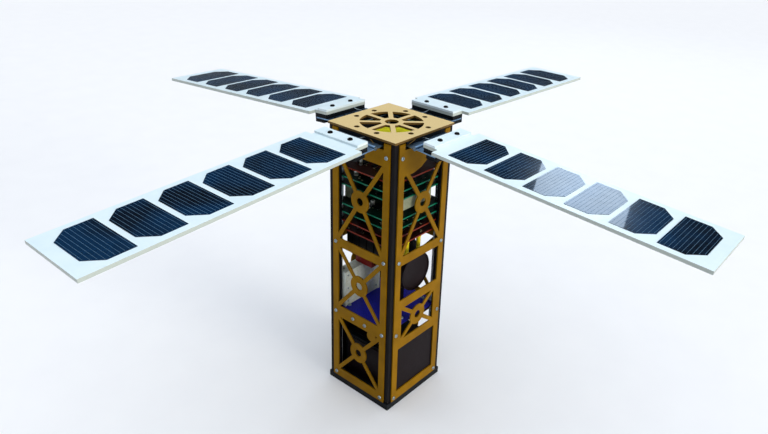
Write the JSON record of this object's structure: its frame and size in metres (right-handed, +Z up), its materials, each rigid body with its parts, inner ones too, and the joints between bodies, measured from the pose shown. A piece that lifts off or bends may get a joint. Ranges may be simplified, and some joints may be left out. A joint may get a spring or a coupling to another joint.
{
  "type": "cube satellite",
  "caption": "Tall square cube satellite with gold cut-out side plates, a stack of circuit boards inside and solar wings that fold down on hinges.",
  "frame": {"origin": "middle of the underside of the base plate", "axes": "+Z up through the body, -Y out of the front side, +X out of the right side with the round drum"},
  "size_m": [0.7458, 0.746, 0.3511],
  "materials": {
    "black_base": "matt black",
    "black_frame": "satin black coating",
    "gold_plate": "satin gold lacquer on flat sheet",
    "tan_plate": "matt tan sheet",
    "black_plastic": "matt black",
    "hinge_steel": "brushed steel",
    "rod_steel": "plain threaded steel",
    "red_laminate": "dark red solder mask",
    "green_laminate": "green solder mask",
    "beige_plastic": "matt beige",
    "yellow_plastic": "matt yellow",
    "drum_black": "satin black-brown",
    "bare_aluminium": "bare milled",
    "blue_laminate": "deep blue",
    "white_board": "white solder mask",
    "solar_cell": "dark blue cover glass with fine grid lines"
  },
  "bodies": {
    "body": {"base_plate": "black_base", "corner_angles": "black_frame", "front_plate": "gold_plate", "right_plate": "gold_plate", "back_plate": "gold_plate", "left_plate": "gold_plate", "top_plate": "tan_plate", "hinge_bars": "black_plastic", "fixed_leaves": "hinge_steel", "hinge_pins": "hinge_steel", "stack_rods": "rod_steel", "red_boards": "red_laminate", "green_boards": "green_laminate", "connector_blocks": "beige_plastic", "antenna_reel": "yellow_plastic", "drum": "drum_black", "drum_bracket": "black_plastic", "yellow_posts": "yellow_plastic", "aluminium_box": "bare_aluminium", "red_module": "red_laminate", "blue_deck": "blue_laminate", "battery_box": "black_plastic", "bay_panels": "black_plastic"},
    "front_wing_body": {"front_wing": "white_board", "front_pad": "white_board", "front_cells": "solar_cell", "front_leaf": "hinge_steel", "front_clamp": "black_plastic"},
    "right_wing_body": {"right_wing": "white_board", "right_pad": "white_board", "right_cells": "solar_cell", "right_leaf": "hinge_steel", "right_clamp": "black_plastic"},
    "back_wing_body": {"back_wing": "white_board", "back_pad": "white_board", "back_cells": "solar_cell", "back_leaf": "hinge_steel", "back_clamp": "black_plastic"},
    "left_wing_body": {"left_wing": "white_board", "left_pad": "white_board", "left_cells": "solar_cell", "left_leaf": "hinge_steel", "left_clamp": "black_plastic"}
  },
  "joints": [
    {"name": "front_wing_fold", "type": "hinge", "parent": "body", "child": "front_wing_body", "pos_m": [0, -0.06, 0.34], "axis": [1, 0, 0], "range_deg": [0, 86]},
    {"name": "right_wing_fold", "type": "hinge", "parent": "body", "child": "right_wing_body", "pos_m": [0.06, 0, 0.34], "axis": [0, 1, 0], "range_deg": [0, 86]},
    {"name": "back_wing_fold", "type": "hinge", "parent": "body", "child": "back_wing_body", "pos_m": [0, 0.06, 0.34], "axis": [-1, 0, 0], "range_deg": [0, 88.6]},
    {"name": "left_wing_fold", "type": "hinge", "parent": "body", "child": "left_wing_body", "pos_m": [-0.06, 0, 0.34], "axis": [0, -1, 0], "range_deg": [0, 86.1]}
  ]
}
